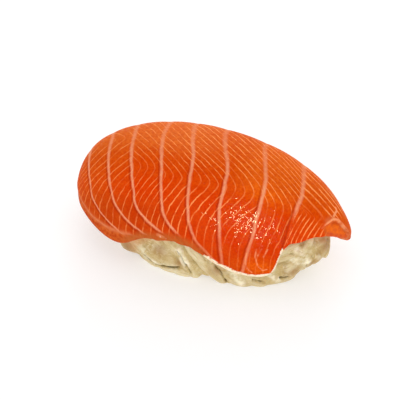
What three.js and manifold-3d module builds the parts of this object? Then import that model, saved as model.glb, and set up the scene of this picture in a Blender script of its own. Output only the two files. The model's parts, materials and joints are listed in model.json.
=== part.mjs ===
// Salmon nigiri: a finger of pressed rice with one slice of raw salmon draped over it.
// Millimetres, +Z up. +X runs along the rice finger towards the slice's pointed end, and the
// slice hangs lowest on the -Y side. The origin is the middle of the whole piece's footprint
// box, on the table.
//
// A heading is a direction round the crown in degrees: 0 is the pointed end, 90 the back,
// 180 the blunt end and -90 the front.
import * as THREE from "three";
import { mergeVertices } from "three/addons/utils/BufferGeometryUtils.js";
import Module from "manifold-3d";

const { degToRad, lerp, seededRandom, smoothstep } = THREE.MathUtils;

// The outside and the inside of the slice and the bare rice are three domes over one crown.
// Each reaches a different way to the four sides and is widest at its waist. Its plan and its
// sides are as boxy as these say, where an ellipsoid's are 2.
const OUTSIDE = { left: 31.3, right: 35.9, front: 16.6, back: 18, top: 29.1, waist: 5, plan: 2, sides: 2.6 };
const INSIDE = { left: 28.1, right: 32.3, front: 14, back: 15, top: 24.2, waist: 5, plan: 2, sides: 2.6 };
const RICE = { left: 21.6, right: 31, front: 13.2, back: 13.4, top: 23.85, waist: 8, plan: 1.95, sides: 2.4 };

// The slice's rim, as the places where it turns: the height of its lower edge above the table,
// and how far it stands out from the dome. The flesh has split beside the flap.
const RIM = [
  { place: "blunt end", heading: -180, height: 8.5, out: -0.8 },
  { place: "front of the blunt end", heading: -150, height: 8.2, out: -0.5 },
  { place: "front corner of the blunt end", heading: -121, height: 6.6, out: -0.2 },
  { place: "front, left of the middle", heading: -102, height: 12, out: 0 },
  { place: "front middle", heading: -89, height: 13.8, out: 0 },
  { place: "bottom of the flap", heading: -59, height: 7.3, out: 0.2 },
  { place: "end side of the flap", heading: -53, height: 8, out: 0.5 },
  { place: "split beside the flap", heading: -44, height: 15.2, out: -0.2 },
  { place: "front of the pointed end", heading: -37, height: 15.3, out: 0 },
  { place: "pointed end", heading: -26, height: 16, out: 0 },
  { place: "tip", heading: 1, height: 12.1, out: 1.7 },
  { place: "back of the tip", heading: 20, height: 9.5, out: 0.5 },
  { place: "back, right of the middle", heading: 66, height: 7, out: 0.2 },
  { place: "back, left of the middle", heading: 104, height: 9.5, out: 0 },
  { place: "back corner of the blunt end", heading: 142, height: 7, out: 0.2 },
  { place: "blunt end", heading: 180, height: 8.5, out: -0.8 },
];
const RIM_REACH = 0.55; // the share of the way down the slice where the rim's own turns begin
const RIM_ROUNDING = 1.1; // how far the cut edge bulges between the slice's two faces

const SPOKES = 100; // points round the crown
const OUTSIDE_RINGS = 12;
const INSIDE_RINGS = 7;
const EDGE_RINGS = 2;
const RICE_SPOKES = 44;
const RICE_RINGS = 8;

const GRAIN = { long: 6.2, wide: 2.8, thick: 2.6, unevenness: 0.12 };
const GRAIN_SIDES = 5;
const GRAIN_BANDS = 4;
const GRAIN_ROW_PITCH = 2.6;
const GRAIN_PITCH = 4; // along a row
const GRAIN_PROUD = 0.2; // how far a grain's middle stands outside the bare rice
const GRAIN_FOOT = 1.2; // height of the lowest row's middles
const GRAIN_UNDER_RIM = 1.9; // from the slice's edge down to the highest row's middles
const GRAIN_TILT = 50; // most degrees that a grain leans out of its row
const GRAIN_DROPS = [0, 0.7, 1.4]; // how far down a grain is tried until it clears the slice
const CLEARANCE = 1.3; // a grain this many times its size still clears the slice
const FOOT_TUCK = 0.13; // how much narrower the rice is at the table than at its waist
const RICE_SEED = 11;

const SALMON_COLOUR = 0xe8500f;
const RICE_COLOUR = 0xe4dab8;

const wasm = await Module();
wasm.setup();

// ---------- Shared shapes ----------

// What the rim is at a heading, eased from one named place to the next.
function rimAt(heading, what) {
  const within = ((heading + 540) % 360) - 180;
  const next = Math.max(RIM.findIndex((place) => place.heading >= within), 1);
  const [from, to] = [RIM[next - 1], RIM[next]];
  return lerp(from[what], to[what], smoothstep(within, from.heading, to.heading));
}

// The rim's height with its sudden changes spread over the headings on both sides.
function evenRimHeight(heading) {
  const turns = [-30, -20, -10, 0, 10, 20, 30];
  return turns.reduce((sum, turn) => sum + rimAt(heading + turn, "height"), 0) / turns.length;
}

function boxyLength(first, second, boxiness) {
  return (Math.abs(first) ** boxiness + Math.abs(second) ** boxiness) ** (1 / boxiness);
}
// The angle from straight up at which a dome's surface is at a height above the table.
function leanAt(dome, heading, height) {
  const angle = degToRad(heading);
  const rise = Math.max((height - dome.waist) / (dome.top - dome.waist), 0.001);
  const spread = (rise ** -dome.sides - 1) ** (1 / dome.sides);
  return Math.atan(spread / boxyLength(Math.cos(angle), Math.sin(angle), dome.plan));
}

function domePoint(dome, heading, lean) {
  const angle = degToRad(heading);
  const way = [Math.sin(lean) * Math.cos(angle), Math.sin(lean) * Math.sin(angle), Math.cos(lean)];
  const size = boxyLength(boxyLength(way[0], way[1], dome.plan), way[2], dome.sides);
  const [along, across, up] = way.map((part) => part / size);
  return new THREE.Vector3(
    along * (along < 0 ? dome.left : dome.right),
    across * (across < 0 ? dome.front : dome.back),
    dome.waist + up * (dome.top - dome.waist),
  );
}

// Joins rings of points, each the same number round, with a pole at both ends.
function closedRings(firstPole, rings, lastPole) {
  const round = rings[0].length;
  const points = [firstPole, ...rings.flat(), lastPole];
  const index = [];
  for (let n = 0; n < round; n++) {
    const m = (n + 1) % round;
    index.push(0, 1 + n, 1 + m);
    for (let k = 0; k < rings.length - 1; k++) {
      const [a, b] = [1 + k * round + n, 1 + k * round + m];
      index.push(a, a + round, b, b, a + round, b + round);
    }
    const last = 1 + (rings.length - 1) * round;
    index.push(last + n, last + round, last + m);
  }
  const geometry = new THREE.BufferGeometry().setFromPoints(points);
  geometry.setIndex(index);
  return geometry;
}

// ---------- The slice ----------

// A point of one of the slice's faces. share runs from 0 at the crown to 1 at the rim.
function slicePoint(dome, heading, share) {
  const even = leanAt(dome, heading, evenRimHeight(heading));
  const edge = leanAt(dome, heading, rimAt(heading, "height"));
  const nearRim = smoothstep(share, RIM_REACH, 1);
  const point = domePoint(dome, heading, share * even + nearRim * (edge - even));
  const outward = new THREE.Vector3(point.x, point.y, 0).normalize();
  return point.addScaledVector(outward, nearRim * rimAt(heading, "out"));
}

// The rounded cut edge between the two faces. turn runs from 0 at the outside to 1 inside.
function edgePoint(heading, turn) {
  const outer = slicePoint(OUTSIDE, heading, 1);
  const inner = slicePoint(INSIDE, heading, 1);
  const down = outer.clone().sub(slicePoint(OUTSIDE, heading, 0.95)).normalize();
  const across = 0.5 - 0.5 * Math.cos(Math.PI * turn);
  return outer.lerp(inner, across).addScaledVector(down, RIM_ROUNDING * Math.sin(Math.PI * turn));
}

function sliceGeometry() {
  const ring = (pointAt) => Array.from({ length: SPOKES }, (_, n) => pointAt((360 * n) / SPOKES));
  const rings = [];
  for (let k = 1; k <= OUTSIDE_RINGS; k++)
    rings.push(ring((heading) => slicePoint(OUTSIDE, heading, k / OUTSIDE_RINGS)));
  for (let k = 1; k <= EDGE_RINGS; k++)
    rings.push(ring((heading) => edgePoint(heading, k / (EDGE_RINGS + 1))));
  for (let k = INSIDE_RINGS; k > 0; k--)
    rings.push(ring((heading) => slicePoint(INSIDE, heading, k / INSIDE_RINGS)));
  return closedRings(domePoint(OUTSIDE, 0, 0), rings, domePoint(INSIDE, 0, 0));
}

// ---------- The rice ----------

// A point of the bare rice's side at a height above the table.
function ricePoint(heading, height) {
  if (height >= RICE.waist) return domePoint(RICE, heading, leanAt(RICE, heading, height));
  const point = domePoint(RICE, heading, Math.PI / 2);
  const tuck = 1 - FOOT_TUCK * (1 - height / RICE.waist) ** 2;
  return new THREE.Vector3(point.x * tuck, point.y * tuck, height);
}

function coreGeometry() {
  const ring = (pointAt) => Array.from({ length: RICE_SPOKES }, (_, n) => pointAt((360 * n) / RICE_SPOKES));
  const rings = [];
  for (let k = 1; k <= RICE_RINGS; k++)
    rings.push(ring((heading) => domePoint(RICE, heading, (k / RICE_RINGS) * (Math.PI / 2))));
  for (const height of [RICE.waist / 2, 0]) rings.push(ring((heading) => ricePoint(heading, height)));
  return closedRings(domePoint(RICE, 0, 0), rings, new THREE.Vector3(0, 0, 0));
}

function solidOf(geometry) {
  const bare = geometry.clone();
  bare.deleteAttribute("normal");
  bare.deleteAttribute("uv");
  const merged = mergeVertices(bare, 1e-4);
  const vertProperties = new Float32Array(merged.attributes.position.array);
  const triVerts = new Uint32Array(merged.index.array);
  return new wasm.Manifold(new wasm.Mesh({ numProp: 3, vertProperties, triVerts }));
}

function geometryOf(solid) {
  const { vertProperties, triVerts, numProp } = solid.getMesh();
  const geometry = new THREE.BufferGeometry();
  geometry.setAttribute("position", new THREE.BufferAttribute(new Float32Array(vertProperties), numProp));
  geometry.setIndex(new THREE.BufferAttribute(new Uint32Array(triVerts), 1));
  return geometry;
}

// One grain pressed into the rice's side: long across the surface, turned by a slant in degrees.
function grainGeometry(heading, height, slant, size) {
  const step = 0.5;
  const middle = ricePoint(heading, height);
  const along = ricePoint(heading + step, height).sub(middle).normalize();
  const up = ricePoint(heading, height + step).sub(middle).normalize();
  const outward = along.clone().cross(up).normalize();
  const long = along.clone().applyAxisAngle(outward, degToRad(slant));
  const wide = outward.clone().cross(long);
  const placed = new THREE.Matrix4()
    .makeBasis(long, wide, outward)
    .setPosition(middle.addScaledVector(outward, GRAIN_PROUD));
  return new THREE.SphereGeometry(0.5, GRAIN_SIDES, GRAIN_BANDS)
    .rotateZ(Math.PI / 2)
    .scale(GRAIN.long * size, GRAIN.wide * size, GRAIN.thick * size)
    .applyMatrix4(placed);
}

// The grains that show, in rows from the table up to the slice's edge, each row shifted by half
// a grain. A grain that would touch the slice is moved down, or left out.
function grainSolids(slice) {
  const solids = [];
  const around = Math.PI * Math.sqrt(2 * (((RICE.left + RICE.right) / 2) ** 2 + RICE.front ** 2));
  const perRow = Math.round(around / GRAIN_PITCH);
  const uneven = (most) => most * (2 * seededRandom() - 1);
  seededRandom(RICE_SEED);
  for (let n = 0; n < perRow; n++) {
    const heading = (360 * n) / perRow;
    const highest = rimAt(heading, "height") - GRAIN_UNDER_RIM;
    const rows = Math.max(Math.round((highest - GRAIN_FOOT) / GRAIN_ROW_PITCH), 1);
    for (let row = 0; row <= rows; row++) {
      const shifted = heading + ((row % 2) * 180) / perRow + uneven(2);
      const height = lerp(GRAIN_FOOT, highest, row / rows) + uneven(0.3);
      const slant = uneven(row === rows ? GRAIN_TILT / 3 : GRAIN_TILT);
      const size = 1 + uneven(GRAIN.unevenness);
      const clears = (drop) =>
        solidOf(grainGeometry(shifted, height - drop, slant, size * CLEARANCE)).intersect(slice).isEmpty();
      const drop = GRAIN_DROPS.find(clears);
      if (drop !== undefined) solids.push(solidOf(grainGeometry(shifted, height - drop, slant, size)));
    }
  }
  return solids;
}

function riceGeometry(slice) {
  const below = 10;
  const table = solidOf(new THREE.BoxGeometry(200, 200, below).translate(0, 0, -below / 2));
  const grains = grainSolids(slice);
  const fused = grains.reduce((rice, grain) => rice.add(grain), solidOf(coreGeometry())).subtract(table);
  const largest = fused.decompose().reduce((best, body) => (body.volume() > best.volume() ? body : best));
  return geometryOf(largest);
}

// ---------- The assembled piece ----------

function namedMesh(name, geometry, color, roughness) {
  geometry.computeVertexNormals();
  const mesh = new THREE.Mesh(geometry, new THREE.MeshStandardMaterial({ color, roughness, metalness: 0 }));
  mesh.name = name;
  return mesh;
}

const salmon = sliceGeometry();
const nigiri = new THREE.Group();
nigiri.add(
  namedMesh("rice", riceGeometry(solidOf(salmon)), RICE_COLOUR, 0.5),
  namedMesh("salmon_slice", salmon, SALMON_COLOUR, 0.3),
);
const middle = new THREE.Box3().setFromObject(nigiri).getCenter(new THREE.Vector3());
nigiri.position.set(-middle.x, -middle.y, 0);

export default nigiri;
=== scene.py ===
import json
import math
import random

import bpy
import numpy as np
from mathutils import Matrix, Vector
from mathutils.kdtree import KDTree

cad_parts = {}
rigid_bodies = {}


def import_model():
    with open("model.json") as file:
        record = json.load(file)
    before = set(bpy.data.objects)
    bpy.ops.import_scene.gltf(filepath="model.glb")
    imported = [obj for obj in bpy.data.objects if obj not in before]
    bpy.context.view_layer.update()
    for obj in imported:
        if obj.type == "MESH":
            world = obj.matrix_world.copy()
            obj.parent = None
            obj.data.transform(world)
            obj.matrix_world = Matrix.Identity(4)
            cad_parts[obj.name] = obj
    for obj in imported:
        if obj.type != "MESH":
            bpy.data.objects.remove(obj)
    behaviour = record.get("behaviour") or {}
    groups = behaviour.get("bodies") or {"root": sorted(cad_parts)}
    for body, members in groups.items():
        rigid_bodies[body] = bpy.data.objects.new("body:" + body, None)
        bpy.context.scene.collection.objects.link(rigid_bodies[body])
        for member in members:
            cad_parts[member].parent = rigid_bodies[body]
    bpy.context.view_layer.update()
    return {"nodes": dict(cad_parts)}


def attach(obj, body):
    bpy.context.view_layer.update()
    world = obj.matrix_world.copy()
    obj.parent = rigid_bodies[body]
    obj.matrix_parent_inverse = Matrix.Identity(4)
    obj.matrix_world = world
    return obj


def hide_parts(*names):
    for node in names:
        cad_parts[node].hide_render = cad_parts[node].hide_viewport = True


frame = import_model()

# The shapes are worked out in millimetres and degrees. The meshes and the scene are in metres.
MM = 0.001

# ---------- The shapes that the frame was drawn to ----------
# Each dome reaches a different way to the four sides of the crown, is widest at its waist, and
# is as boxy in plan and at its sides as these say.
CROWN_X, CROWN_Y = -3.29, -0.92
OUTSIDE = dict(left=31.3, right=35.9, front=16.6, back=18, top=29.1, waist=5, plan=2, sides=2.6)
INSIDE = dict(left=28.1, right=32.3, front=14, back=15, top=24.2, waist=5, plan=2, sides=2.6)
RICE = dict(left=21.6, right=31, front=13.2, back=13.4, top=23.85, waist=8, plan=1.95, sides=2.4)

# A heading is a direction round the crown in degrees: 0 is the pointed end, 90 the back, 180
# the blunt end and -90 the front. A turn is the way over the slice from the crown line: -90 is
# down the front, 90 down the back.

# The height of the slice's lower edge, by heading.
RIM = (
    (-180, 8.5), (-150, 8.2), (-121, 6.6), (-102, 12), (-89, 13.8), (-59, 7.3), (-53, 8), (-44, 15.2),
    (-37, 15.3), (-26, 16), (1, 12.1), (20, 9.5), (66, 7), (104, 9.5), (142, 7), (180, 8.5),
)
# How much narrower the rice is at the table than at its waist, by heading.
FOOT_TUCKS = (
    (-180, 0.14), (-120, 0.05), (-60, 0.02), (-36, 0.08), (-14, 0.33), (20, 0.26), (60, 0.13),
    (180, 0.14),
)

VOXEL = 0.32  # the grid on which the finished meshes are drawn
SMOOTHING = dict(factor=0.5, iterations=3)  # takes the grid's steps out again


def only(*objects):
    """Select these objects alone, the first of them active."""
    bpy.ops.object.select_all(action="DESELECT")
    for item in objects:
        item.select_set(True)
    bpy.context.view_layer.objects.active = objects[0]


def finish_with(item, kind, **settings):
    """Add one modifier and apply it."""
    only(item)
    modifier = item.modifiers.new(kind.title(), kind)
    for name, value in settings.items():
        setattr(modifier, name, value)
    bpy.ops.object.modifier_apply(modifier=modifier.name)


def points_of(item):
    found = np.empty(len(item.data.vertices) * 3)
    item.data.vertices.foreach_get("co", found)
    return found.reshape(-1, 3) / MM


def normals_of(item):
    found = np.empty(len(item.data.vertices) * 3)
    item.data.vertex_normals.foreach_get("vector", found)
    return found.reshape(-1, 3)


def move_points(item, points):
    item.data.vertices.foreach_set("co", (points * MM).ravel())
    item.data.update()


def paint(item, **values):
    """Store named numbers, one each a point, for the materials to read."""
    for name, numbers in values.items():
        layer = item.data.attributes.new(name, "FLOAT", "POINT")
        layer.data.foreach_set("value", np.asarray(numbers, dtype=np.float32))


def ease(value, low, high):
    """0 up to low and 1 from high on, eased between them. Low may be the larger one."""
    share = np.clip((value - low) / (high - low), 0, 1)
    return share * share * (3 - 2 * share)


def bell(distance, width):
    """1 at no distance, falling away to both sides."""
    return np.exp(-((distance / width) ** 2))


def eased_table(table, headings):
    """What a table of (heading, value) says at these headings, eased from place to place."""
    places, values = np.array(table, float).T
    headings = np.clip(headings, places[0], places[-1])
    n = np.clip(np.searchsorted(places, headings) - 1, 0, len(places) - 2)
    return values[n] + (values[n + 1] - values[n]) * ease(headings, places[n], places[n + 1])


def reach(dome, along, across):
    """How far a dome reaches along and across, on the side of the crown where these are."""
    return (
        np.where(along < 0, dome["left"], dome["right"]),
        np.where(across < 0, dome["front"], dome["back"]),
    )


def within(dome, points):
    """Places in a dome as shares of its reach along, across and up."""
    x, y, z = points[:, 0] - CROWN_X, points[:, 1] - CROWN_Y, points[:, 2] - dome["waist"]
    reach_x, reach_y = reach(dome, x, y)
    return x / reach_x, y / reach_y, z / (dome["top"] - dome["waist"])


def depth_in(dome, points):
    """How far out a point is in a dome: 0 on its axis, 1 on its surface."""
    along, across, up = within(dome, points)
    flat = (np.abs(along) ** dome["plan"] + np.abs(across) ** dome["plan"]) ** (1 / dome["plan"])
    return (flat ** dome["sides"] + np.maximum(up, 0) ** dome["sides"]) ** (1 / dome["sides"])


def heading_of(points):
    along, across, _ = within(OUTSIDE, points)
    return np.degrees(np.arctan2(across, along))


def turn_of(points):
    _, across, up = within(OUTSIDE, points)
    return np.degrees(np.arctan2(across, up))


def on_outside(headings, heights):
    """The points of the slice's outside at these headings and heights."""
    rise = np.clip((heights - OUTSIDE["waist"]) / (OUTSIDE["top"] - OUTSIDE["waist"]), 0, 1)
    flat = (1 - rise ** OUTSIDE["sides"]) ** (1 / OUTSIDE["sides"])
    along, across = flat * np.cos(np.radians(headings)), flat * np.sin(np.radians(headings))
    reach_x, reach_y = reach(OUTSIDE, along, across)
    return np.stack([CROWN_X + along * reach_x, CROWN_Y + across * reach_y, heights], -1)


def distance_to(corners, points):
    """Millimetres from points to a line through these corners."""
    least = np.full(len(points), np.inf)
    for start, end in zip(corners, corners[1:]):
        run = end - start
        share = np.clip(((points - start) @ run) / (run @ run), 0, 1)
        least = np.minimum(least, np.linalg.norm(points - start - share[:, None] * run, axis=1))
    return least


def from_lines(points, *lines):
    """Millimetres from points on the outside to the nearest of these (heading, height) lines."""
    return np.min([distance_to(on_outside(*np.array(line, float).T), points) for line in lines], 0)


# ---------- The marbling ----------
# The thick fat stripes from the blunt end to the pointed end: how far along each one is at these
# turns. Over the back each one leans on towards the blunt end.
STRIPE_TURNS = (-75, -68, -60, -45, -30, -15, 0, 20)
STRIPES = (
    (-18.0, -22.3, -25.0, -26.9, -28.4, -29.5, -30.4, -31.8),
    (-7.0, -14.0, -18.1, -21.0, -22.8, -24.0, -24.8, -26.3),
    (-0.5, -6.3, -11.8, -14.9, -16.7, -18.3, -19.2, -20.6),
    (1.4, -1.9, -5.5, -7.8, -9.2, -10.9, -12.1, -13.1),
    (4.8, 1.8, 0.1, -1.3, -2.2, -3.1, -4.9, -6.8),
    (7.7, 7.3, 6.9, 6.1, 6.0, 5.1, 3.1, 0.7),
    (13.1, 13.5, 14.1, 14.5, 14.7, 14.1, 12.6, 10.5),
    (20.6, 21.0, 21.4, 22.0, 22.3, 22.5, 21.8, 20.2),
)
# The turn at which the stripes end, by how far along they are.
STRIPES_END = (
    (-16, -90), (-13, -78), (-11, -70.5), (-8.5, -68.5), (-6.5, -66), (-3.5, -64.5), (0.5, -65.5),
    (2.2, -90),
)
BACK_LEAN = 0.05  # mm a degree of turn
MM_A_TURN = 0.36  # along the slice's surface
MM_A_HEADING = 0.42  # near the flap
END_BAND = 20  # mm given to the bands past the first and the last stripe
NARROWEST_BAND = 0.5

# The thin fat lines of each band between two stripes point towards the pointed end. For each
# band: a place in its middle, the turn of their point and how round it is, the lines' lean above
# it (mm a degree) and how that straightens, their lean below it, their pitch above and below,
# and how far they are shifted along, in lines.
BANDS = (
    (-29.5, -12.2, 3.0, 0.360, 0.0250, 0.238, 2.60, 1.66, 0.28),
    (-24.0, -4.4, 2.0, 0.456, 0.0080, 0.220, 2.80, 1.88, 0.62),
    (-18.0, -4.1, 2.0, 0.360, 0.0158, 0.220, 2.55, 1.95, 0.70),
    (-11.3, -31.0, 4.6, 0.550, 0.0239, 0.220, 2.19, 1.48, 0.15),
    (-4.5, -34.0, 4.0, 0.542, 0.0141, 0.245, 2.22, 1.80, 0.21),
    (2.5, -32.5, 3.7, 0.550, 0.0080, 0.268, 2.20, 1.95, 0.42),
    (10.3, -31.8, 9.0, 0.549, 0.0082, 0.340, 2.39, 1.83, 0.31),
    (18.4, -36.4, 19.7, 0.750, 0.0147, 0.177, 2.38, 1.55, 0.70),
    (27.0, -24.0, 6.0, 0.900, 0.0010, 0.090, 6.20, 0.85, 0.30),
)
PITCH_CHANGES = (-45, -15)  # the turns between which the pitch goes over
TIP_PITCH_CHANGES = (-28, -18)  # the same in the last band
LINES_UPRIGHT = -66  # the turn up to which the thin lines don't lean
LEAN_BUILDS = 30  # degrees of turn over which their lean then builds up
LINES_BEFORE = 20  # keeps the count of lines above 0


def curve_through(turns, places, values):
    """A smooth curve through the values at the places, straight on below the first one."""
    places, values = np.array(places, float), np.array(values, float)
    slopes = np.gradient(values, places)
    here = np.clip(turns, places[0], places[-1])
    n = np.clip(np.searchsorted(places, here) - 1, 0, len(places) - 2)
    gap = places[n + 1] - places[n]
    t = (here - places[n]) / gap
    smooth = (
        (2 * t**3 - 3 * t**2 + 1) * values[n]
        + (t**3 - 2 * t**2 + t) * gap * slopes[n]
        + (3 * t**2 - 2 * t**3) * values[n + 1]
        + (t**3 - t**2) * gap * slopes[n + 1]
    )
    return smooth + np.minimum(turns - places[0], 0) * slopes[0]


def lower_run(turns):
    """How far along a thin line has run at a turn below its point, where it leans 1 mm a degree."""
    t = np.maximum(turns - LINES_UPRIGHT, 0) / LEAN_BUILDS
    return LEAN_BUILDS * np.where(t < 1, t**3 - t**4 / 2, t - 0.5)


def marbling(along, turns):
    """Where places lie among the stripes and the lines: the stripes passed with the share of the
    band, the band's width square to its stripes, the lines passed, and the turn from their point."""
    lean = np.maximum(turns - STRIPE_TURNS[-1], 0) * BACK_LEAN
    stripes = np.array([curve_through(turns, STRIPE_TURNS, row) - lean for row in STRIPES])
    fence = np.concatenate([stripes[:1] - END_BAND, stripes, stripes[-1:] + END_BAND])
    band = (along[None] > stripes).sum(0)
    every = np.arange(len(along))
    left, right = fence[band, every], fence[band + 1, every]
    width = np.maximum(right - left, NARROWEST_BAND)
    share = np.clip((along - left) / width, 0, 0.999)
    further = np.array([curve_through(turns + 1, STRIPE_TURNS, row) - lean for row in STRIPES])
    slopes = further - stripes
    nearest = np.clip(band - (share < 0.5), 0, len(STRIPES) - 1)
    straight = 1 / np.hypot(1, slopes[nearest, every] / MM_A_TURN)

    middle, tip, roundness, lean_up, straighter, lean_down, wide, narrow, shift = np.array(BANDS)[band].T
    from_point = turns - tip
    eased = np.sqrt(from_point**2 + roundness**2) - roundness
    above = -lean_up / straighter * np.log(1 + straighter * eased)
    below = lean_down * (lower_run(tip - eased) - lower_run(tip))
    in_last = band == len(STRIPES)
    widened = np.where(in_last, ease(turns, *TIP_PITCH_CHANGES), ease(turns, *PITCH_CHANGES))
    pitch = narrow + (wide - narrow) * widened
    run = np.where(from_point > 0, above, below)
    line = (along - run - middle) / pitch + shift + LINES_BEFORE
    return band + share, width * straight, line, from_point


# ---------- The salmon ----------
# The top of the slab's dull cut side at the blunt end, and the paler line along it.
CUT_SIDE_TOP = (
    (-180, 12.2), (-165, 11.8), (-150, 10.9), (-136, 10), (-118, 9.9), (-109, 11.2), (-100, 12),
)
CUT_SIDE_LINE = ((-168, 12.4), (-158, 11.6), (-146, 10.6), (-136, 9.9), (-123, 9.8), (-112, 10.9))
# The crest of the folded tip, the pale line behind it and the bloom at its end.
TIP_CREST = (
    (-20, 17.5), (-16.6, 18), (-10, 18.3), (-8, 18.1), (-6, 17.6), (-4.8, 16.7), (-3.4, 15.1),
    (-2.2, 13.8), (-1.2, 11.5),
)
TIP_LINE = ((1.6, 19.2), (0, 18.8), (-3.4, 18.8), (-7, 18.6))
TIP_BLOOM = ((-13.5, 18.4), (-10, 18.3))
# The flap's free edge runs on up the slice as a ridge. Low on the flap, one fat line turns back
# up and another hooks; the two short strokes after them are painted glints.
FLAP_RIDGE = ((-47.5, 12.5), (-46, 14.7), (-44.7, 16.4), (-42.8, 18.5), (-38.5, 20.6), (-33, 22.4))
FLAP_HOOKS_AND_GLINTS = (
    ((-60.7, 14.3), (-62.2, 12.2), (-62.6, 10.2), (-61.9, 8.6), (-60, 7.6)),
    ((-57.5, 14.3), (-58.5, 12.2), (-57.7, 9.7), (-55.7, 8.4), (-54, 8.8)),
    ((-57.3, 12.5), (-55.4, 14.4)),
    ((-55.1, 12.3), (-53, 14.2)),
)
# A scrap of white skin on the edge above the clumps of rice.
SKIN_SCRAP = ((-98, 13.7), (-94.6, 13.1))
# How far up from the slice's edge the white skin shows, by heading.
SKIN_SHOWS = (
    (-80, 0), (-75, 0.4), (-69, 0.5), (-62, 0.2), (-54, 0.3), (-50, 0.75), (-46.5, 0.35), (-44.5, 0),
)
# How far the soft edge sags below the slab's, by heading, and how far up it draws the flesh.
SAGS = (
    (-97, 0), (-88, 0.8), (-80, 0.9), (-74, 1.3), (-67, 1), (-60, 0.6), (-52, 0.9), (-44, 0.9), (-40, 0),
)
SAG_DRAWS = 5
# Patches: how far along, the turn, and how wide each way. The glows are patches of painted glow.
GLOWS = ((14.3, -27, 4.5, 8), (16, -78, 3.5, 6))
WET_PATCH = (14, -51, 7.2, 12.5)

WELD = 0.002  # points of the slab nearer than this are one

# The relief, in millimetres.
OUTER_FACE = (0.93, 0.97)  # the depths in the outside's dome between which the outer face begins
SHINGLE, LOW_SHINGLE = 0.06, 0.28  # the step at a stripe, and what it gains low on the front
STEP_WIDTH = 0.4
BAND_CROWN = 0.1
END_SWELL = 0.4
CUT_INSET, TIP_INSET, FOLD_INSET = 0.25, 0.5, 0.3
CREST_RISE, CREST_WIDTH = 0.3, 0.5
RIDGE_RISE, RIDGE_WIDTH, PAST_RIDGE_DROP, VALLEY_WIDTH = 0.35, 0.6, 0.2, 0.3
SKIN_RISE = 0.1

# What the materials read as 1: a quarter turn, and this far along.
QUARTER = 90
ALONG_UNIT = 30
FAR = 5  # mm from a pale edge, past which the distance doesn't matter


def fine_slab():
    """The frame's slab as one rounded mesh of fine, even faces."""
    salmon = bpy.data.objects.new("salmon", frame["nodes"]["salmon_slice"].data.copy())
    bpy.context.scene.collection.objects.link(salmon)
    salmon.data.materials.clear()
    only(salmon)
    bpy.ops.object.mode_set(mode="EDIT")
    bpy.ops.mesh.select_all(action="SELECT")
    bpy.ops.mesh.remove_doubles(threshold=WELD * MM)
    bpy.ops.mesh.tris_convert_to_quads()
    bpy.ops.object.mode_set(mode="OBJECT")
    finish_with(salmon, "SUBSURF", levels=2, render_levels=2)
    guide = salmon.copy()
    guide.data = salmon.data.copy()
    bpy.context.scene.collection.objects.link(guide)
    finish_with(salmon, "REMESH", mode="VOXEL", voxel_size=VOXEL * MM)
    finish_with(salmon, "SHRINKWRAP", target=guide, wrap_method="NEAREST_SURFACEPOINT")
    finish_with(salmon, "SMOOTH", **SMOOTHING)
    bpy.data.objects.remove(guide)
    return salmon


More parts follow.
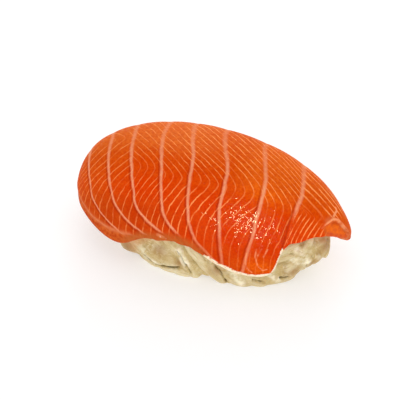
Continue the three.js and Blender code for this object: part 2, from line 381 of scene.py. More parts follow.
class SliceSurface:
    """Where each point of the slice lies, and what is there: its edges as shares from 0 to 1."""

    def __init__(self, points, headings, above_rim):
        self.x, self.heights = points[:, 0], points[:, 2]
        self.headings, self.above_rim = headings, above_rim
        self.turns = turn_of(points)
        self.outside = on_outside(headings, self.heights)
        self.outer = ease(depth_in(OUTSIDE, points), *OUTER_FACE)
        self.count, self.width, self.line, self.from_point = marbling(self.x, self.turns)
        self.find_cut_side_and_tip()
        self.find_ridge()
        self.find_skin()

    def find_cut_side_and_tip(self):
        headings, heights = self.headings, self.heights
        under_top = ease(eased_table(CUT_SIDE_TOP, headings) - heights, -0.4, 0.5)
        self.cut_side = self.outer * under_top * ease(-headings, 98, 112)
        near_tip = (headings > -22) & (headings < 0)
        crest = np.where(near_tip, eased_table(TIP_CREST, headings), 0)
        self.tip_side = self.outer * ease(crest - heights, 0.1, 0.9) * ease(headings, -21, -16)
        self.tip_fold = self.tip_side * ease(heights - crest, -1.8, -0.7) * ease(headings, -13, -8)

    def find_ridge(self):
        headings, heights = self.headings, self.heights
        ridge_headings, ridge_heights = np.array(FLAP_RIDGE, float).T
        ridge = np.interp(heights, ridge_heights, ridge_headings)
        self.past_ridge = (headings - ridge) * MM_A_HEADING
        self.at_ridge = self.outer * ease(heights, 14, 16) * ease(-heights, -22.5, -18.5)
        self.at_ridge *= (headings > -70) & (headings < -5)
        self.valley = self.at_ridge * bell(self.past_ridge - 0.2, VALLEY_WIDTH)

    def find_skin(self):
        shown = eased_table(SKIN_SHOWS, self.headings)
        self.skin = ease(shown + 0.25 - self.above_rim, 0, 0.5) * ease(shown, 0, 0.15)
        self.from_scrap = from_lines(self.outside, SKIN_SCRAP)

    def relief(self):
        """How far each point stands out of the slab: the bands of flesh lie like shingles, each
        highest just past its stripe, and the edges are drawn in or swell."""
        headings, outer = self.headings, self.outer
        share = self.count % 1
        from_stripe = (np.mod(self.count + 0.5, 1) - 0.5) * self.width
        low = ease(-self.turns, 10, 50) * ease(-self.x, -16, 4)
        on_step = np.abs(from_stripe) <= STEP_WIDTH
        step = np.where(on_step, ease(from_stripe, -STEP_WIDTH, STEP_WIDTH), 1)
        shingle = (SHINGLE + LOW_SHINGLE * low) * (1 - share) ** 1.2 * step
        crowned = BAND_CROWN * (1 - (2 * share - 1) ** 2)
        raised = outer * (shingle + crowned) * (1 - self.cut_side) * (1 - self.tip_side)

        swell = END_SWELL * outer * ease(-headings, 112, 128)
        swell *= ease(12.5 - self.heights, 0, 5)
        swell *= ease(180 + headings, 15, 45)
        raised += swell
        raised -= CUT_INSET * self.cut_side + TIP_INSET * self.tip_side + FOLD_INSET * self.tip_fold
        raised += CREST_RISE * outer * bell(from_lines(self.outside, TIP_CREST), CREST_WIDTH)

        rise = RIDGE_RISE * bell(self.past_ridge + RIDGE_WIDTH, RIDGE_WIDTH)
        drop = PAST_RIDGE_DROP * ease(self.past_ridge, -0.3, 0.5) * ease(-headings, 22, 38)
        raised += self.at_ridge * (rise - drop)
        raised += SKIN_RISE * self.skin
        return raised

    def patch(self, along, turn, wide, high):
        """1 in the middle of a round patch of the surface, falling away to all sides."""
        return np.exp(-(((self.x - along) / wide) ** 2) - ((self.turns - turn) / high) ** 2)

    def fat(self):
        """Where the stripes and the thin lines are, and how strongly they show."""
        x, turns = self.x, self.turns
        on_flap = ease(x, -4, 4) * ease(turns, -52, -68)
        stripe_end = np.interp(x, *np.array(STRIPES_END).T)
        not_ended = ease(turns - stripe_end, -2.5, 0.5)
        last_stripe = np.round(self.count) == len(STRIPES)
        stripe_shows = np.where(last_stripe, ease(turns, -40, -24), not_ended * (1 - 0.5 * on_flap))

        in_last = ease(self.count, len(STRIPES) - 0.01, len(STRIPES))
        behind_tip = 0.5 * ease(-turns, 11, 17) * ease(turns, -34, -26)
        tip_loses = in_last * np.maximum(ease(x, 30, 31.5), behind_tip)
        low_keeps = 1 - 0.25 * ease(-turns, 45, 60)
        end_keeps = 0.3 + 0.7 * not_ended
        left_keeps = 0.6 + 0.4 * ease(x, -14, -2)
        lines_show = (1 - 0.72 * on_flap) * (1 - tip_loses)
        lines_show *= low_keeps * end_keeps * left_keeps
        wet = self.patch(*WET_PATCH)
        return dict(
            stripe_count=self.count,
            stripe_shows=stripe_shows,
            band_width=self.width,
            line_count=self.line,
            lines_show=lines_show * (1 - 0.45 * wet),
            fineness=1 - 0.35 * in_last,
            from_point=self.from_point / QUARTER,
            wet=0.85 * wet * self.outer,
        )

    def tones(self):
        """Where the slice's other colours belong, those of its edges among them."""
        # Patches of painted glow.
        glow = sum(self.patch(*place) for place in GLOWS)
        scrap = 0.45 * ease(self.from_scrap, 0.5, 0.1)
        pale = from_lines(self.outside, TIP_CREST, TIP_LINE)
        # The flap's hooks, and two short painted glints beside them.
        pale = np.minimum(pale, from_lines(self.outside, *FLAP_HOOKS_AND_GLINTS) + 0.1)
        pale = np.minimum(pale, 0.6 * self.from_scrap + 0.05)
        bloom = 0.6 * bell(from_lines(self.outside, TIP_BLOOM), 0.7)
        haze = bell(from_lines(self.outside, CUT_SIDE_LINE), 0.6)
        thin_edge = ease(self.above_rim, 2.6, 0.3) * ease(-self.headings, 74, 84)
        thin_edge *= ease(self.headings, -122, -112)
        thin_tip = 0.7 * self.tip_side * ease(self.above_rim, 1.6, 0.4)
        return dict(
            along=self.x / ALONG_UNIT,
            turn=self.turns / QUARTER,
            glow=np.minimum(glow, 1) * self.outer,
            cut_side=np.maximum(self.cut_side, self.tip_side),
            tip_side=self.tip_side,
            # The fold, darkened with painted shade.
            tip_fold=self.tip_fold,
            # The valley, darkened with painted shade.
            valley=self.valley,
            skin=np.maximum(self.skin, scrap),
            pale_edge=np.minimum(pale, FAR),
            haze=self.outer * np.maximum(haze, bloom),
            thin_edge=np.maximum(thin_edge, thin_tip),
        )


def drape_salmon():
    salmon = fine_slab()
    points = points_of(salmon)
    headings = heading_of(points)
    rim, sag = eased_table(RIM, headings), eased_table(SAGS, headings)
    points[:, 2] -= sag * ease(points[:, 2] - rim, SAG_DRAWS, 0)
    move_points(salmon, points)
    surface = SliceSurface(points, headings, points[:, 2] - rim + sag)
    move_points(salmon, points + normals_of(salmon) * surface.relief()[:, None])
    paint(salmon, **surface.fat(), **surface.tones())
    only(salmon)
    bpy.ops.object.shade_smooth()
    return salmon


# ---------- The rice ----------
# The kinds of cooked grain: how long, wide and thick, and how far bent.
GRAIN_KINDS = (
    ("long_grain", 7.6, 2.8, 2.2, 0.25),
    ("plump_grain", 6.6, 3.2, 2.5, 0.12),
    ("bent_grain", 7.2, 3.0, 2.3, -0.4),
)
GRAIN_BLUNTNESS = 0.85
GRAIN_FULLER = 0.12
CORE_INSET = 0.7

# The grains lie in rows round the core, in two layers, and in a bed underneath.
ROWS = 9
LOWEST_ROW = 1.0
ROW_PITCH = 1.9
GRAIN_PITCH = 3.8
ROW_LENGTH, ROW_SHORTER = 145, 4  # mm round the lowest row, and what each row above it loses
LAYERS = ((0, -1.1), (1, -0.1))  # each one's number, and how far its grains stand out
LAYER_RISE = 0.5
BED_X, BED_Y = np.arange(-24, 27, 3.6), np.arange(-11, 11.5, 2.6)
BED_HEIGHT = 1.05
BED_EXTENT = 0.8  # how far out the bed reaches, as a share of the rice at its waist
UNDER_TABLE = 0.5  # how far below the table a grain may reach before it is pressed flat
PRESSED = 0.03  # the share of that which is left
UNDER_SLICE = 0.995  # how far out a grain may reach, as a share of the slice's inside
CLEAR_OF_EDGE = 1.6  # mm below the slice's edge, past which a grain may stand out

# The rice was pinched into clumps. Each ends at a heading at mid height, where its end leans
# this many degrees of heading a mm of height, and its grains lean this many degrees.
CLUMPS = (
    (-150, 0.5, -15), (-122, 0.3, 5), (-91, -0.8, -24), (-84, -1.0, -60), (-70, -0.9, -40),
    (-52, 0, -10), (-36, 1.0, 20), (-22, 1.5, 42), (-5, 2, 58), (20, 0.5, 25), (46, 0.5, -25),
    (71, -0.5, 20), (98, 0.8, -10), (120, -0.6, 35), (149, 0.4, -20), (184, 0, 15),
)
MIDDLE_HEIGHT = 6
CLUMP_GAP = 2.5  # degrees over which a clump falls away towards its end
CLUMP_FALL = 0.9

# Deep cracks between the clumps, as (heading, height) places and how deep they are. Each is
# pushed in and painted dark as shade.
CRACKS = (
    (((-115, 2.6), (-112, 1.9), (-107, 1.6), (-102, 1.6), (-96, 2.1), (-90.5, 2.7)), 1),
    (((-91, 7.7), (-89, 6.5), (-87, 4.2), (-84.8, 1.8)), 0.5),
    (((-87, 4.5), (-86.6, 3.8)), 0.8),
    (((-75.5, 7.6), (-74, 5.4), (-72, 4.3), (-71, 2.9), (-69, 1)), 0.55),
    (((-69.7, 1.7), (-68.7, 0.9)), 0.9),
    (((-57, 2.4), (-54, 2), (-51, 1.6)), 0.65),
    (((-41, 2.4), (-39, 2.5), (-37, 2.8)), 0.85),
    (((-37, 10.1), (-35.3, 9.9)), 0.4),
    (((-26, 6), (-20, 3.2), (-16, 1.4)), 0.35),
    (((-22, 8), (-16, 3.6)), 0.3),
)
CRACK_WIDTH = 0.3
# Pale flakes of starch, as (heading, height) places.
FLAKES = (
    ((-46, 3.3), (-43.5, 2.2)), ((-32.5, 10.5), (-30.5, 10.2)), ((-28, 7.4), (-26, 6.6)),
    ((-35.5, 8.2), (-34, 7.4)), ((-90, 8.0), (-86.5, 4.5)), ((-66, 3.6), (-63, 1.6)),
    ((-113, 2.5), (-106, 2.3)),
)
# Spots of painted shade, a darker tan, as (heading, height, radius).
SHADE_SPOTS = (
    (-130, 1.8, 2.9), (-102, 6.6, 1.7), (-90, 4.2, 1.2), (-74, 4.6, 1.7), (-35, 4.5, 1.8),
    (-20, 5.8, 1.4), (-8, 9.1, 1.8),
)
HOLLOW_ROUNDS = 14  # of smoothing, that the hollows are measured from


def wrapped(heading):
    """The same heading, between -180 and 180."""
    return (heading + 540) % 360 - 180


def rice_side(heading, height):
    """A point of the bare rice's side, and the directions along, up and out of it there."""
    foot_tuck = float(eased_table(FOOT_TUCKS, wrapped(heading)))

    def place(angle, z):
        rise = min(max((z - RICE["waist"]) / (RICE["top"] - RICE["waist"]), 0), 0.98)
        size = (1 - rise ** RICE["sides"]) ** (1 / RICE["sides"])
        way = np.array([math.cos(angle), math.sin(angle)])
        way /= (abs(way) ** RICE["plan"]).sum() ** (1 / RICE["plan"])
        size *= 1 - foot_tuck * max(1 - z / RICE["waist"], 0) ** 2
        reach_x, reach_y = reach(RICE, *way)
        return Vector((CROWN_X + way[0] * reach_x * size, CROWN_Y + way[1] * reach_y * size, z))

    angle = math.radians(heading)
    here = place(angle, height)
    along = (place(angle + 0.02, height) - here).normalized()
    up = (place(angle, height + 0.3) - here).normalized()
    out = along.cross(up).normalized()
    return here, along, out.cross(along), out


def press_core(inset):
    """The core of the finger of rice, this far inside its bare side."""
    bpy.ops.object.select_all(action="DESELECT")
    bpy.ops.mesh.primitive_uv_sphere_add(segments=64, ring_count=32, radius=1)
    core = bpy.context.active_object
    core.name = "rice_core"
    way = points_of(core) * MM
    x, y, z = way.T
    flat = (np.abs(x) ** RICE["plan"] + np.abs(y) ** RICE["plan"]) ** (1 / RICE["plan"])
    size = (flat ** RICE["sides"] + np.abs(z) ** RICE["sides"]) ** (1 / RICE["sides"])
    along, across, up = (way / size[:, None]).T
    reach_x, reach_y = reach(RICE, along, across)
    height = np.maximum(RICE["waist"] + up * (RICE["top"] - RICE["waist"] - inset), inset)
    headings = np.degrees(np.arctan2(across, along))
    tuck = 1 - eased_table(FOOT_TUCKS, headings) * np.clip(1 - height / RICE["waist"], 0, 1) ** 2
    x = CROWN_X + along * (reach_x - inset) * tuck
    y = CROWN_Y + across * (reach_y - inset) * tuck
    move_points(core, np.stack([x, y, height], 1))
    bpy.ops.object.shade_smooth()
    return core


def model_grain(name, long, wide, thick, bend):
    """One cooked grain: plump, blunt at both ends, one side fuller, slightly bent."""
    bpy.ops.object.select_all(action="DESELECT")
    lying = (0, math.pi / 2, 0)
    bpy.ops.mesh.primitive_uv_sphere_add(segments=12, ring_count=10, radius=1, rotation=lying)
    grain = bpy.context.active_object
    grain.name = name
    bpy.ops.object.transform_apply(location=False, rotation=True, scale=False)
    x, y, z = (points_of(grain) * MM).T
    blunt = np.sign(x) * np.abs(x) ** GRAIN_BLUNTNESS
    fuller = 1 + GRAIN_FULLER * x
    y = (y * fuller + bend * (x * x - 0.3)) * wide / 2
    move_points(grain, np.stack([blunt * long / 2, y, z * fuller * thick / 2], 1))
    return grain


def unrolled(headings, heights):
    """Places on the rice's side laid out flat: millimetres round it and up."""
    every = np.arange(-180, 181)
    angles = np.radians(every)
    reach_x = np.where(np.abs(every) > 90, RICE["left"], RICE["right"])
    steps = math.radians(1) * np.hypot(reach_x * np.sin(angles), RICE["front"] * np.cos(angles))
    return np.column_stack([np.interp(headings, every, np.cumsum(steps)), heights])


def clump_at(heading, height):
    """The lean of the clump's grains at a place, and the degrees to the clump's nearest end."""
    heading = wrapped(heading)
    ends = [end + slope * (height - MIDDLE_HEIGHT) for end, slope, _ in CLUMPS]
    n = next(n for n, end in enumerate(ends) if heading <= end)
    return CLUMPS[n][2], min(abs(heading - end) for end in ends)


class GrainHeap:
    """Grains put down one by one, with each one's own frame and tone and the grain of each point."""

    def __init__(self, seed):
        self.chance = random.Random(seed)
        self.kinds = [model_grain(*kind) for kind in GRAIN_KINDS]
        self.grains, self.frames, self.tones = [], [], []
        self.places, self.owners = [], []

    def put(self, matrix):
        """Put a grain here, pressed flat on the table, if the slice doesn't cut through it."""
        kind = self.chance.choice(self.kinds)
        tone = self.chance.random()
        grain = bpy.data.objects.new("grain", kind.data.copy())
        grain.data.transform(matrix)
        points = points_of(grain)
        points[:, 2] += max(0, -points[:, 2].min() - UNDER_TABLE)
        points[:, 2] = np.maximum(points[:, 2], PRESSED * points[:, 2])
        points[:, 2] -= min(points[:, 2].min(), 0)
        move_points(grain, points)
        rim = eased_table(RIM, heading_of(points))
        covered = depth_in(INSIDE, points) < UNDER_SLICE
        if (covered | (points[:, 2] < rim - CLEAR_OF_EDGE)).all():
            bpy.context.scene.collection.objects.link(grain)
            self.owners.extend([len(self.grains)] * len(points))
            self.places.extend(points)
            self.frames.append(np.array(matrix.inverted()))
            self.tones.append(tone)
            self.grains.append(grain)

    def put_row(self, row, layer, proud):
        chance = self.chance
        height = LOWEST_ROW + row * ROW_PITCH + layer * LAYER_RISE
        count = int((ROW_LENGTH - row * ROW_SHORTER) / GRAIN_PITCH)
        for n in range(count):
            place = n + 0.5 * (row % 2) + 0.25 * layer + chance.uniform(-0.25, 0.25)
            heading = 360 * place / count
            here, along, up, out = rice_side(heading, height + chance.uniform(-0.5, 0.5))
            slant, from_end = clump_at(heading, height)
            lean = math.radians(chance.gauss(slant, 10))
            long = along * math.cos(lean) + up * math.sin(lean)
            long = (long + out * chance.uniform(-0.12, 0.12)).normalized()
            wide = out.cross(long).normalized()
            out = long.cross(wide)
            size = chance.uniform(0.9, 1.12)
            turn = Matrix((long, wide, out)).transposed().to_4x4()
            away = proud + chance.uniform(-0.2, 0.2) - CLUMP_FALL * max(1 - from_end / CLUMP_GAP, 0)
            self.put(Matrix.Translation((here + out * away) * MM) @ turn @ Matrix.Scale(size, 4))

    def put_bed(self):
        chance = self.chance
        for row_x in BED_X:
            for row_y in BED_Y:
                x = row_x + chance.uniform(-0.8, 0.8)
                y = row_y + chance.uniform(-0.5, 0.5)
                if depth_in(RICE, np.array([[x, y, RICE["waist"]]]))[0] < BED_EXTENT:
                    turn = Matrix.Rotation(chance.gauss(0, 0.7), 4, "Z")
                    self.put(Matrix.Translation(Vector((x, y, BED_HEIGHT)) * MM) @ turn)

    def stick_together(self):
        """Fuse the grains and their core as cooked starch does, into one piece."""
        only(press_core(CORE_INSET), *self.grains)
        bpy.ops.object.join()
        rice = bpy.context.active_object
        rice.name = "rice_grains"
        for kind in self.kinds:
            bpy.data.objects.remove(kind)
        finish_with(rice, "REMESH", mode="VOXEL", voxel_size=VOXEL * MM)
        drop_specks(rice)
        finish_with(rice, "SMOOTH", **SMOOTHING)
        return rice

    def paint_grains(self, rice):
        """Each point's grain has its tone, and its streaks run along it."""
        points = points_of(rice)
        nearest = KDTree(len(self.places))
        for n, place in enumerate(self.places):
            nearest.insert(place, n)
        nearest.balance()
        grain = np.array(self.owners)[[nearest.find(point)[1] for point in points]]
        metres = np.column_stack([points * MM, np.ones(len(points))])
        own = np.einsum("nij,nj->ni", np.array(self.frames)[grain], metres) / MM
        tone = np.array(self.tones)[grain]
        paint(rice, tone=tone, along_grain=own[:, 0], across_grain=own[:, 1])


def drop_specks(item):
    """Delete what is joined to nothing, by keeping what is joined to the point furthest out."""
    only(item)
    bpy.ops.object.mode_set(mode="EDIT")
    bpy.ops.mesh.select_all(action="DESELECT")
    bpy.ops.object.mode_set(mode="OBJECT")
    furthest = int(np.abs(points_of(item)[:, 0]).argmax())
    item.data.vertices[furthest].select = True
    bpy.ops.object.mode_set(mode="EDIT")
    bpy.ops.mesh.select_linked()
    bpy.ops.mesh.select_all(action="INVERT")
    bpy.ops.mesh.delete(type="VERT")
    bpy.ops.object.mode_set(mode="OBJECT")


def hollowness(item, rounds):
    """How far each point lies under the smooth run of the surface round it, in millimetres."""
    points = points_of(item)
    edges = np.empty(len(item.data.edges) * 2, dtype=np.int32)
    item.data.edges.foreach_get("vertices", edges)
    ends = np.concatenate([edges[::2], edges[1::2]])
    others = np.concatenate([edges[1::2], edges[::2]])
    neighbours = np.bincount(ends, minlength=len(points))[:, None]
    smooth = points
    for _ in range(rounds):
        sums = [np.bincount(ends, smooth[others, axis], len(points)) for axis in range(3)]
        smooth = np.stack(sums, 1) / neighbours
    return ((smooth - points) * normals_of(item)).sum(1)


def mark_side(rice):
    """Open the cracks in the rice's side, and paint what shows on it."""
    points = points_of(rice)
    x, z = points[:, 0], points[:, 2]
    along, across, _ = within(RICE, points)
    at_side = np.hypot(along, across) > 0.5
    flat = unrolled(np.degrees(np.arctan2(across, along)), z)
    crack, brown = np.zeros(len(points)), np.zeros(len(points))
    for line, depth in CRACKS:
        away = distance_to(unrolled(*np.array(line, float).T), flat)
        crack = np.maximum(crack, at_side * depth * bell(away, CRACK_WIDTH))
    # Spots of painted shade.
    for heading, height, radius in SHADE_SPOTS:
        away = np.linalg.norm(flat - unrolled(heading, height), axis=1)
        brown = np.maximum(brown, bell(away, radius))
    flake = np.min([distance_to(unrolled(*np.array(line, float).T), flat) for line in FLAKES], 0)
    flake = ease(flake, 1.3, 0.3)
    foot = np.maximum(0.4 * ease(x, 8, 16), ease(z, 6, 1) * ease(x, -2, 6))
    paint(rice, crack=crack, brown=brown * at_side, flake=flake * at_side, foot=foot)

    inward = points - np.array([CROWN_X, CROWN_Y, 0])
    inward[:, 2] = 0
    inward /= np.linalg.norm(inward, axis=1, keepdims=True)
    off_table = points[:, 2:] > 0.05
    points -= inward * crack[:, None] * off_table
    move_points(rice, points)
    headings = heading_of(points)
    above_rim = z - eased_table(RIM, headings)
    # Painted light bounced from the salmon: on the rice just under the slice's edge, higher at the blunt
    # end.
    at_end = ease(-headings, 112, 122) * ease(-headings, 175, 150)
    stained = np.maximum(ease(above_rim, -3.8, -1.2), at_end * ease(above_rim, -6, -3))
    paint(rice, hollow=hollowness(rice, HOLLOW_ROUNDS), stained=stained)


def press_rice():
    heap = GrainHeap(seed=7)
    for layer, proud in LAYERS:
        for row in range(ROWS):
            heap.put_row(row, layer, proud)
    heap.put_bed()
    rice = heap.stick_together()
    heap.paint_grains(rice)
    mark_side(rice)
    only(rice)
    bpy.ops.object.shade_smooth()
    return rice


# ---------- Materials ----------
FINE_RELIEF = 0.15


class Finish:
    """A material's nodes, added one call at a time."""

    def __init__(self, name):
        self.material = bpy.data.materials.new(name)
        self.material.use_nodes = True
        self.tree = self.material.node_tree
        self.surface = self.tree.nodes["Principled BSDF"]

    def add(self, kind, settings=None, **inputs):
        made = self.tree.nodes.new("ShaderNode" + kind)
        for name, value in (settings or {}).items():
            setattr(made, name, value)
        for name, value in inputs.items():
            self.feed(made, name.replace("_", " "), value)
        return made

    def feed(self, made, socket, value):
        target = made.inputs[socket]
        if isinstance(value, bpy.types.NodeSocket):
            self.tree.links.new(value, target)
        else:
            target.default_value = value

    def math(self, operation, first, second=0.0, third=0.0):
        made = self.add("Math", {"operation": operation})
        for n, value in enumerate((first, second, third)):
            self.feed(made, n, value)
        return made.outputs[0]

    def product(self, first, *others):
        for other in others:
            first = self.math("MULTIPLY", first, other)
        return first

    def vector(self, operation, first, second=(0, 0, 0), output="Vector"):
        made = self.add("VectorMath", {"operation": operation})
        self.feed(made, 0, first)
        self.feed(made, 1, second)
        return made.outputs[output]

    def painted(self, name, share=None):
        """What was painted on the piece under this name, or a share of it."""
        value = self.add("Attribute", {"attribute_name": name}).outputs["Fac"]
        return value if share is None else self.product(value, share)

    def band(self, value, low, high, start=0.0, end=1.0):
        """A number eased from start to end as the value goes from low to high."""
        made = self.add("MapRange", {"interpolation_type": "SMOOTHSTEP"}, Value=value)
        for name, number in (("From Min", low), ("From Max", high), ("To Min", start), ("To Max", end)):
            made.inputs[name].default_value = number
        return made.outputs["Result"]

    def noise(self, scale, detail=2.0, roughness=0.5, place=None):
        """A cloudy number from 0 to 1, on the piece's own coordinates unless a place is given."""
        if place is None:
            place = self.add("TexCoord").outputs["Object"]
        made = self.add("TexNoise", Vector=place, Scale=scale, Detail=detail, Roughness=roughness)
        return made.outputs["Fac"]

    def wander(self, scale, detail, roughness=0.5):
        """A small cloudy number to either side of 0."""
        return self.math("MULTIPLY_ADD", self.noise(scale, detail, roughness), 0.5, -0.25)

    def mix(self, share, first, second):
        made = self.add("Mix", {"data_type": "RGBA"})
        for n, value in ((0, share), (6, first), (7, second)):
            self.feed(made, n, value)
        return made.outputs[2]

    def layered(self, colour, *layers):
        """A colour with these (share, colour) layers over it, one after another."""
        for share, layer in layers:
            colour = self.mix(share, colour, layer)
        return colour

    def ramp(self, value, *stops):
        made = self.add("ValToRGB", Fac=value)
        ends = made.color_ramp.elements
        while len(ends) < len(stops):
            ends.new(0.5)
        for end, (place, colour) in zip(ends, stops):
            end.position, end.color = place, colour
        return made.outputs["Color"]

    def relief(self, height):
        """The finest bumps, too small for the mesh."""
        bump = self.add("Bump", Strength=0.5, Distance=FINE_RELIEF * MM, Height=height)
        self.feed(self.surface, "Normal", bump.outputs["Normal"])

    def set(self, **settings):
        for name, value in settings.items():
            self.surface.inputs[name.replace("_", " ")].default_value = value


def linear(value):
    """One screen value of a colour, made linear."""
    share = value / 255
    return share / 12.92 if value < 11 else ((share + 0.055) / 1.055) ** 2.4


def rgb(red, green, blue):
    """A colour given in screen values."""
    return linear(red), linear(green), linear(blue), 1


# The flesh from low on the front, over the crown at 0.5, to the back. Its paler top and back are
# partly painted sheen.
FLESH = (
    (0.03, rgb(200, 66, 6)),
    (0.14, rgb(212, 54, 0)),
    (0.26, rgb(220, 62, 0)),
    (0.42, rgb(216, 78, 2)),
    (0.55, rgb(220, 92, 16)),
    (0.80, rgb(214, 96, 24)),
)
# The first colour here is painted sheen on the top, the second a painted glow.
SHEEN_ON_TOP, GLOWING, BROWN_END = rgb(232, 116, 44), rgb(250, 112, 12), rgb(204, 92, 18)
# The first colour here is painted shade, low on the front towards the blunt end.
SHADE_LOW_LEFT, PALE_RIGHT = rgb(172, 66, 12), rgb(236, 116, 30)
MOTTLED, WET_RED, FIBRE = rgb(228, 98, 26), rgb(228, 40, 0), rgb(186, 36, 0)
LINE_FAT, STRIPE_FAT, UNDER_STRIPE = rgb(255, 156, 88), rgb(240, 158, 118), rgb(150, 30, 2)
CUT_DARK, CUT_LIGHT, CUT_HAZE = rgb(180, 62, 16), rgb(208, 98, 38), rgb(216, 122, 76)
# The last colour here is painted shade in the fold under the tip's crest.
TIP_LIGHT, TIP_DARK, SHADE_IN_TIP_FOLD = rgb(240, 112, 28), rgb(218, 92, 34), rgb(176, 50, 8)
# The last colour here is painted shade in the valley past the flap's ridge.
THIN_EDGE, THIN_TIP, SHADE_IN_VALLEY = rgb(186, 96, 42), rgb(192, 66, 44), rgb(150, 34, 4)
# The first colour here paints the pale fat lines, and also two short painted glints on the flap.
PALE_EDGE, SKIN_DARK, SKIN_LIGHT = rgb(246, 158, 108), rgb(226, 186, 138), rgb(244, 230, 204)
FACETS = 4000.0  # to the metre
UNRELATED = (7.3, 13.1, 3.7)  # turns a facet's colour into a number of its own


def flesh_colour(finish):
    """The flesh: its tone from place to place, its mottling and its fibres, with painted sheen, glow and
    shade.
    """
    turn = finish.math("MULTIPLY_ADD", finish.painted("turn"), 0.5, 0.5)
    along = finish.painted("along")
    # Painted sheen: the top paler towards the blunt end.
    sheen_top_left = finish.product(finish.band(along, 0.25, -0.3), finish.band(turn, 0.36, 0.5, 0.0, 0.8))
    # Painted shade: darker low on the front towards the blunt end.
    shaded_low_left = finish.product(finish.band(along, 0.1, -0.4), finish.band(turn, 0.26, 0.16, 0.0, 0.45))
    right = finish.product(
        finish.band(along, 0.15, 0.4, 0.0, 0.45),
        finish.band(along, 0.6, 0.85, 1.0, 0.2),
        finish.band(turn, 0.28, 0.42),
    )
    red = finish.product(finish.painted("wet"), finish.band(finish.noise(900, 3), 0.42, 0.62, 0.0, 0.5))
    mottle = finish.product(finish.band(finish.noise(260, 3), 0.3, 0.7), 0.25)
    fibre = finish.product(finish.band(finish.noise(1500, 4, 0.65), 0.35, 0.65), 0.4)
    return finish.layered(
        finish.ramp(turn, *FLESH),
        # painted sheen on the top
        (sheen_top_left, SHEEN_ON_TOP),
        # painted glow
        (finish.painted("glow", 0.6), GLOWING),
        (finish.band(along, -0.4, -0.95, 0.0, 0.5), BROWN_END),
        # painted shade low on the front
        (shaded_low_left, SHADE_LOW_LEFT),
        (right, PALE_RIGHT),
        (mottle, MOTTLED),
        (red, WET_RED),
        (fibre, FIBRE),
    )


def thin_lines(finish, patchy):
    """How much of the thin fat lines shows. They wander, and are faint near their point."""
    count = finish.math("ADD", finish.painted("line_count"), finish.wander(350, 4, 0.65))
    phase = finish.math("FRACT", count)
    off_line = finish.math("ABSOLUTE", finish.math("SUBTRACT", phase, 0.5))
    line = finish.band(finish.product(off_line, finish.painted("fineness")), 0.12, 0.02)
    near_point = finish.math("ABSOLUTE", finish.painted("from_point"))
    shows = finish.product(finish.painted("lines_show"), finish.band(near_point, 0.01, 0.12, 0.4, 1.0))
    return finish.product(line, finish.product(patchy, shows))


def thick_stripes(finish, worn):
    """How much of the fat stripes shows, and of the shade on their blunt side low on the front."""
    turn = finish.painted("turn")
    count = finish.math("FRACT", finish.math("ADD", finish.painted("stripe_count"), 0.5))
    away = finish.product(finish.math("SUBTRACT", count, 0.5), finish.painted("band_width"))
    away = finish.math("ADD", away, finish.wander(420, 3))
    shade = finish.band(finish.math("ABSOLUTE", finish.math("ADD", away, 0.6)), 0.35, 0.1)
    shade = finish.product(shade, finish.band(turn, -0.1, -0.4), 0.45)
    wider = finish.band(turn, 0.25, -0.45, 0.6, 1.0)
    fainter = finish.band(turn, 0.25, -0.45, 0.38, 0.95)
    stripe = finish.band(finish.product(finish.math("ABSOLUTE", away), wider), 0.56, 0.06)
    return finish.product(stripe, fainter, worn, finish.painted("stripe_shows")), shade


def edge_colours(finish, colour, patchy, worn):
    """The cut side, the folded tip, the thin and pale edges and the white skin, with painted shade and
    glints.
    """
    torn = finish.band(finish.noise(1100, 4, 0.65), 0.35, 0.65)
    ragged = finish.band(finish.noise(900, 4, 0.6), 0.35, 0.55)
    thin = finish.product(finish.painted("thin_edge"), finish.band(torn, 0.0, 1.0, 0.6, 0.95))
    pale = finish.band(finish.painted("pale_edge"), 0.4, 0.08, 0.0, 0.85)
    skin = finish.math("ADD", finish.painted("skin"), finish.product(ragged, 0.35))
    return finish.layered(
        colour,
        (finish.painted("cut_side", 0.9), finish.mix(torn, CUT_DARK, CUT_LIGHT)),
        (finish.painted("tip_side", 0.9), finish.mix(torn, TIP_LIGHT, TIP_DARK)),
        # painted shade in the fold under the tip's crest
        (finish.painted("tip_fold", 0.5), SHADE_IN_TIP_FOLD),
        (finish.product(finish.painted("haze"), worn), CUT_HAZE),
        (thin, finish.mix(finish.painted("tip_side"), THIN_EDGE, THIN_TIP)),
        # painted shade in the valley past the flap's ridge
        (finish.painted("valley", 0.3), SHADE_IN_VALLEY),
        # pale fat lines, two of them short painted glints
        (finish.product(pale, patchy), PALE_EDGE),
        (finish.band(skin, 0.45, 0.9), finish.mix(ragged, SKIN_DARK, SKIN_LIGHT)),
    )


def wet_facets(finish):
    """A glaze of tiny facets, each tilted its own way and mostly a little. They are there by
    chance, the more the wetter it is."""
    place = finish.add("TexCoord").outputs["Object"]
    facet = finish.add("TexVoronoi", Vector=place, Scale=FACETS).outputs["Color"]
    tilt = finish.vector("SUBTRACT", facet, (0.5, 0.5, 0.5))
    tilt = finish.vector("MULTIPLY", tilt, finish.vector("ABSOLUTE", tilt))
    straight = finish.add("NewGeometry").outputs["Normal"]
    facing = finish.vector("NORMALIZE", finish.vector("ADD", straight, tilt))
    chance = finish.math("FRACT", finish.vector("DOT_PRODUCT", facet, UNRELATED, "Value"))
    wet = finish.product(finish.painted("wet"), finish.band(finish.noise(300, 2), 0.3, 0.6, 0.2, 1.0))
    finish.feed(finish.surface, "Coat Normal", facing)
    finish.feed(finish.surface, "Coat Weight", finish.math("GREATER_THAN", wet, chance))


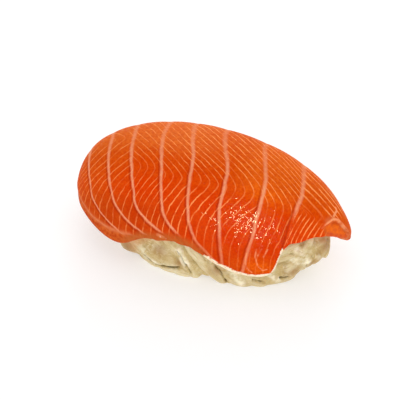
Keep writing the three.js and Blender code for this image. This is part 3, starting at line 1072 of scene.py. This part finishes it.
def raw_salmon():
    finish = Finish("raw salmon")
    patchy = finish.band(finish.noise(380, 3), 0.36, 0.56, 0.2, 1.0)
    worn = finish.band(finish.noise(900, 3, 0.6), 0.3, 0.6, 0.7, 1.0)
    line = finish.product(thin_lines(finish, patchy), 0.95)
    stripe, shade = thick_stripes(finish, worn)
    marbled = finish.layered(
        flesh_colour(finish),
        (line, LINE_FAT),
        (shade, UNDER_STRIPE),
        (stripe, STRIPE_FAT),
    )
    finish.feed(finish.surface, "Base Color", edge_colours(finish, marbled, patchy, worn))
    finish.relief(finish.math("MULTIPLY_ADD", stripe, 0.3, finish.noise(1200, 4, 0.65)))
    wet_facets(finish)
    finish.set(
        Roughness=0.45,
        Specular_IOR_Level=0.008,
        Subsurface_Weight=0.12,
        Subsurface_Radius=(1.0, 0.3, 0.12),
        Subsurface_Scale=0.0005,
        Coat_Roughness=0.06,
        Coat_IOR=1.25,
    )
    return finish.material


# The grains from the dullest to the palest.
GRAIN_TONES = ((0.0, rgb(190, 164, 106)), (0.5, rgb(208, 188, 136)), (1.0, rgb(220, 207, 168)))
STREAK_DARK, STREAK_LIGHT, CLOUDED = rgb(172, 142, 82), rgb(240, 230, 202), rgb(196, 168, 112)
# Painted shade in the hollows, and a painted highlight on what stands proud.
SHADE_IN_HOLLOWS, HIGHLIGHT_ON_PROUD = rgb(146, 118, 54), rgb(236, 226, 196)
# The first colour here is painted light bounced from the salmon, the second painted shade.
SALMON_BOUNCE_LIGHT, SPOT_SHADE, AT_FOOT = rgb(222, 156, 100), rgb(156, 110, 56), rgb(184, 152, 92)
# The second colour here is painted shade in the cracks.
STARCH, SHADE_IN_CRACK = rgb(246, 238, 212), rgb(92, 72, 22)
ALONG_STREAKS = 0.14  # how fast the streaks vary along a grain, against across it
GRAINS_APART = 90.0  # sets the streaks of each grain apart by its tone


def cooked_rice():
    finish = Finish("cooked rice")
    tone = finish.painted("tone")
    along = finish.painted("along_grain", ALONG_STREAKS)
    apart = finish.product(tone, GRAINS_APART)
    on_grain = finish.add("CombineXYZ", X=along, Y=finish.painted("across_grain"), Z=apart)
    streak = finish.noise(3.6, 4.0, 0.65, on_grain.outputs["Vector"])
    cloud = finish.product(finish.band(finish.noise(600, 3), 0.35, 0.7), 0.3)
    hollow = finish.painted("hollow")
    flaky = finish.band(finish.noise(700, 4, 0.6), 0.4, 0.6, 0.2, 0.9)
    broken = finish.band(finish.noise(700, 3), 0.3, 0.6, 0.35, 1.0)
    crack = finish.band(finish.product(finish.painted("crack"), broken), 0.12, 0.75, 0.0, 0.92)
    colour = finish.layered(
        finish.ramp(tone, *GRAIN_TONES),
        (finish.band(streak, 0.5, 0.34, 0.0, 0.7), STREAK_DARK),
        (finish.band(streak, 0.52, 0.68, 0.0, 0.6), STREAK_LIGHT),
        (cloud, CLOUDED),
        # painted shade in the hollows
        (finish.band(hollow, 0.02, 0.35, 0.0, 0.5), SHADE_IN_HOLLOWS),
        # painted highlight on what stands proud
        (finish.band(hollow, -0.02, -0.3, 0.0, 0.5), HIGHLIGHT_ON_PROUD),
        # painted light bounced from the salmon under the slice's edge
        (finish.painted("stained", 0.5), SALMON_BOUNCE_LIGHT),
        # spots of painted shade
        (finish.painted("brown", 0.7), SPOT_SHADE),
        (finish.painted("foot", 0.3), AT_FOOT),
        (finish.product(finish.painted("flake"), flaky), STARCH),
        # painted shade in the cracks
        (crack, SHADE_IN_CRACK),
    )
    finish.feed(finish.surface, "Base Color", colour)
    finish.relief(finish.math("MULTIPLY_ADD", streak, 0.7, finish.noise(1500, 3, 0.6)))
    finish.set(
        Roughness=0.5,
        Specular_IOR_Level=0.14,
        Subsurface_Weight=0.5,
        Subsurface_Radius=(1.0, 0.8, 0.45),
        Subsurface_Scale=0.0004,
    )
    return finish.material


# ---------- The stage ----------
AZIMUTH, ELEVATION, AWAY = 20, 40, 0.45  # degrees, degrees and metres
LENS, SENSOR = 170.1, 36
PICTURE = 400  # pixels a side
PIXELS_A_MM = 4.2
ORIGIN_AT = (213.6, 241.0)  # the pixel of the frame's origin
LAMPS_AIM = 15  # mm above the table
TABLE_SIZE = 6  # metres
WHITE = (1, 1, 1, 1)


def directions(azimuth, elevation):
    a, e = math.radians(azimuth), math.radians(elevation)
    back = Vector((math.sin(a) * math.cos(e), -math.cos(a) * math.cos(e), math.sin(e)))
    right = Vector((math.cos(a), math.sin(a), 0))
    return right, back.cross(right), back


def look_from(item, azimuth, elevation, away, target):
    right, up, back = directions(azimuth, elevation)
    turn = Matrix((right, up, back)).transposed().to_4x4()
    item.matrix_world = Matrix.Translation(target + back * away) @ turn
    bpy.context.scene.collection.objects.link(item)


def set_camera():
    right, up, _ = directions(AZIMUTH, ELEVATION)
    target = right * (PICTURE / 2 - ORIGIN_AT[0]) / PIXELS_A_MM * MM
    target += up * (ORIGIN_AT[1] - PICTURE / 2) / PIXELS_A_MM * MM
    data = bpy.data.cameras.new("camera")
    data.lens = LENS
    data.sensor_width = SENSOR
    data.clip_start = 0.01
    camera = bpy.data.objects.new("camera", data)
    look_from(camera, AZIMUTH, ELEVATION, AWAY, target)
    bpy.context.scene.camera = camera


def lamp(name, azimuth, elevation, away, size, power):
    data = bpy.data.lights.new(name, "AREA")
    data.shape = "DISK"
    data.size = size
    data.energy = power
    item = bpy.data.objects.new(name, data)
    look_from(item, azimuth, elevation, away, Vector((0, 0, LAMPS_AIM * MM)))
    return item


def set_stage():
    bpy.ops.object.select_all(action="DESELECT")
    bpy.ops.mesh.primitive_plane_add(size=TABLE_SIZE, location=(0, 0, 0))
    table = bpy.context.active_object
    table.name = "table"
    plain = Finish("pale table")
    plain.set(Base_Color=(0.6, 0.6, 0.6, 1), Roughness=0.9, Specular_IOR_Level=0.1)
    plain.set(Emission_Color=WHITE, Emission_Strength=0.45)
    table.data.materials.append(plain.material)
    world = bpy.data.worlds.new("studio")
    world.use_nodes = True
    sky = world.node_tree.nodes["Background"].inputs
    sky["Color"].default_value = WHITE
    sky["Strength"].default_value = 0.95
    bpy.context.scene.world = world
    lamp("softbox behind", azimuth=195, elevation=22, away=0.9, size=0.5, power=2)
    lamp("front lamp", azimuth=15, elevation=10, away=0.8, size=0.3, power=0.8)
    # Shows only where the wet salmon mirrors it.
    glint_lamp = lamp("glint lamp", azimuth=13, elevation=12, away=0.8, size=0.26, power=9)
    glint_lamp.data.color = (1, 0.91, 0.52)
    glint_lamp.visible_diffuse = False
    bpy.context.scene.view_settings.view_transform = "Standard"


# ---------- Putting it together ----------
set_camera()
set_stage()
salmon = drape_salmon()
rice = press_rice()
salmon.data.materials.append(raw_salmon())
rice.data.materials.append(cooked_rice())
for piece, slot, node in ((salmon, "salmon", "salmon_slice"), (rice, "rice", "rice")):
    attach(piece, "root")
    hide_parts(node)
